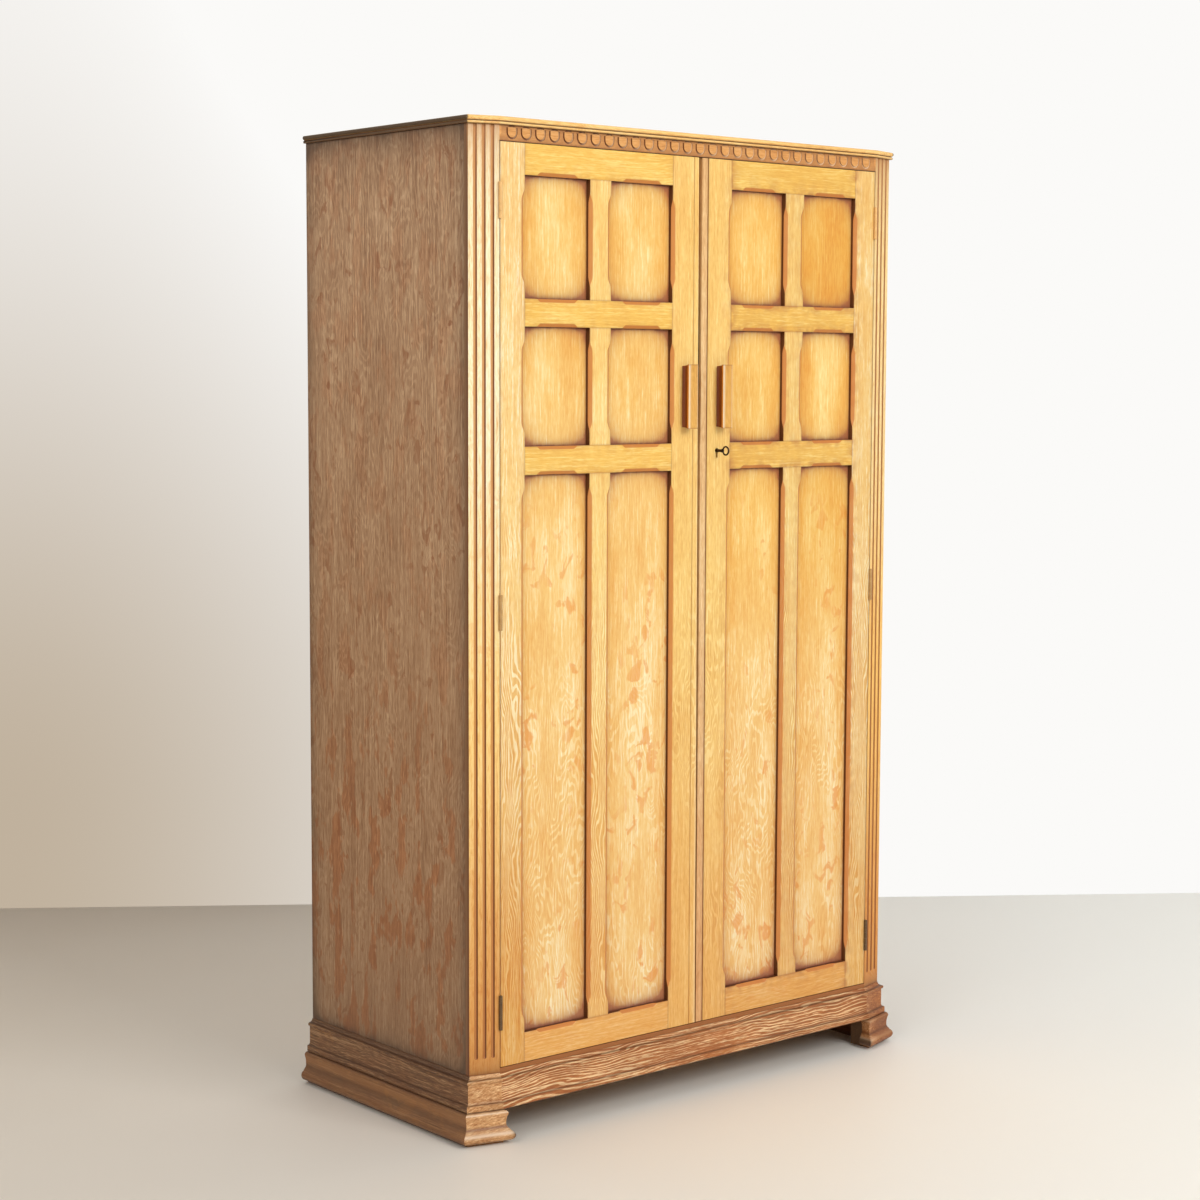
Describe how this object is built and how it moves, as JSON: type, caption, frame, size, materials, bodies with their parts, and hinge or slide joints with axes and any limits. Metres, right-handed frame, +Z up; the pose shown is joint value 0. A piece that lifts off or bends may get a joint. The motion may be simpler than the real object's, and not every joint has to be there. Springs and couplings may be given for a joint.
{
  "type": "wardrobe",
  "caption": "Two-door oak wardrobe with framed and panelled doors, canted fluted corners, a carved frieze and a moulded plinth on bracket feet.",
  "frame": {"origin": "floor, under the middle of the wardrobe's whole width and depth, key included", "axes": "+Z up, the doors face -Y, +X towards the door with the lock"},
  "size_m": [1.1, 0.5506, 1.8],
  "materials": {
    "front_oak": "satin wax over golden oak",
    "panel_oak": "satin wax over quarter-sawn oak",
    "pilaster_oak": "satin wax over pale oak",
    "side_oak": "satin wax over brown oak",
    "plinth_oak": "satin wax over brown oak",
    "handle_oak": "satin wax over brown oak",
    "inner_wood": "plain sawn",
    "plywood": "plain plywood",
    "rail_wood": "varnished",
    "brass": "aged",
    "screw_steel": "plain",
    "dark_iron": "dark bronzed"
  },
  "bodies": {
    "carcass": {"left_side_panel": "side_oak", "right_side_panel": "side_oak", "left_pilaster": "pilaster_oak", "right_pilaster": "pilaster_oak", "top_board": "front_oak", "top_rails": "inner_wood", "frieze": "front_oak", "back_panel": "plywood", "rear_posts": "inner_wood", "bottom_board": "plinth_oak", "door_stops": "inner_wood", "hat_shelf": "inner_wood", "shelf_cleats": "inner_wood", "hanging_rail": "rail_wood", "rail_sockets": "brass", "apron": "plinth_oak", "left_plinth_corner": "plinth_oak", "right_plinth_corner": "plinth_oak", "left_plinth_side": "plinth_oak", "right_plinth_side": "plinth_oak", "left_foot": "plinth_oak", "right_foot": "plinth_oak", "left_base_side": "plinth_oak", "right_base_side": "plinth_oak", "plinth_framing": "inner_wood", "carcass_hinge_leaves": "brass", "hinge_pins": "brass", "carcass_screws": "screw_steel", "bolt_keeps": "brass"},
    "left_door": {"left_hinge_stile": "front_oak", "left_meeting_stile": "front_oak", "left_top_rail": "front_oak", "left_upper_rail": "front_oak", "left_lock_rail": "front_oak", "left_bottom_rail": "front_oak", "left_muntins": "front_oak", "left_panels": "panel_oak", "left_handle": "handle_oak", "left_hinge_leaves": "brass", "left_door_screws": "screw_steel", "left_bolt_cases": "brass", "strike_plate": "brass"},
    "right_door": {"right_hinge_stile": "front_oak", "right_meeting_stile": "front_oak", "right_top_rail": "front_oak", "right_upper_rail": "front_oak", "right_lock_rail": "front_oak", "right_bottom_rail": "front_oak", "right_muntins": "front_oak", "right_panels": "panel_oak", "right_handle": "handle_oak", "right_hinge_leaves": "brass", "right_door_screws": "screw_steel", "meeting_bead": "front_oak", "lock_case": "brass"},
    "left_top_bolt": {"left_top_bolt": "brass"},
    "left_bottom_bolt": {"left_bottom_bolt": "brass"},
    "lock_bolt": {"lock_bolt": "brass"},
    "key_drum": {"key_drum": "brass"},
    "key": {"key": "dark_iron"}
  },
  "joints": [
    {"name": "left_door_swing", "type": "hinge", "parent": "carcass", "child": "left_door", "pos_m": [-0.4665, -0.2441, 0.945], "axis": [0, 0, -1], "range_deg": [0, 170]},
    {"name": "right_door_swing", "type": "hinge", "parent": "carcass", "child": "right_door", "pos_m": [0.4665, -0.2441, 0.945], "axis": [0, 0, 1], "range_deg": [0, 170]},
    {"name": "top_bolt_slide", "type": "slide", "parent": "left_door", "child": "left_top_bolt", "axis": [0, 0, 1], "range_m": [0, 0.012]},
    {"name": "bottom_bolt_slide", "type": "slide", "parent": "left_door", "child": "left_bottom_bolt", "axis": [0, 0, -1], "range_m": [0, 0.012]},
    {"name": "key_turn", "type": "hinge", "parent": "right_door", "child": "key_drum", "pos_m": [0.0473, -0.2267, 1.219], "axis": [0, -1, 0], "range_deg": [0, 360]},
    {"name": "key_withdraw", "type": "slide", "parent": "key_drum", "child": "key", "axis": [0, -1, 0], "range_m": [0, 0.04]},
    {"name": "lock_bolt_throw", "type": "slide", "parent": "right_door", "child": "lock_bolt", "axis": [-1, 0, 0], "range_m": [0, 0.0091]}
  ],
  "couplings": [
    {"joint": "lock_bolt_throw", "follows": "key_turn", "m_per_rad": 0.0014324}
  ]
}
